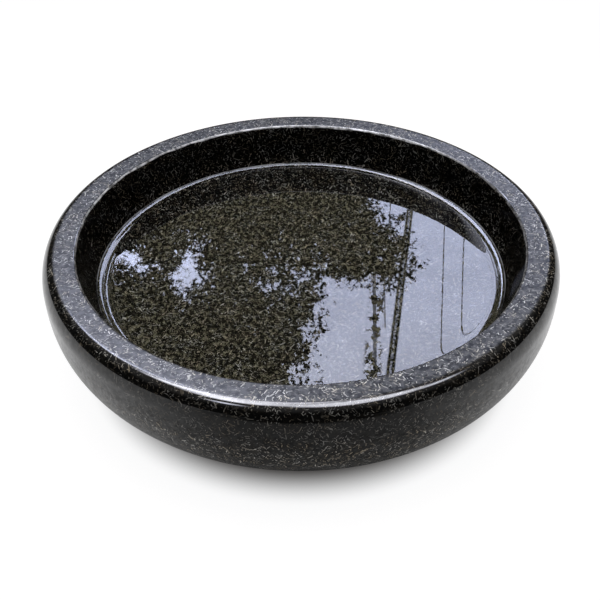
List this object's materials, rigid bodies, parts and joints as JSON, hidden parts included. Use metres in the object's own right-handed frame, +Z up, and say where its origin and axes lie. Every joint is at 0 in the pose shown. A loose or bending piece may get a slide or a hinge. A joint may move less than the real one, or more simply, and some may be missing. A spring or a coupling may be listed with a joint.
{
  "type": "water bowl",
  "caption": "Low round bowl turned from polished speckled black stone, with a broad flat rim and a flat base, filled with still water to a little below the rim.",
  "frame": {"origin": "centre of the flat base, on the bowl's axis, at the level that the bowl stands on", "axes": "+Z up along the axis that the bowl is turned about; +X and +Y lie in the plane of the base, and all directions round the axis are alike"},
  "size_m": [0.4, 0.4, 0.11],
  "materials": {
    "granite": "polished",
    "still_water": "gloss"
  },
  "bodies": {
    "root": {"bowl": "granite", "water": "still_water"}
  },
  "joints": []
}
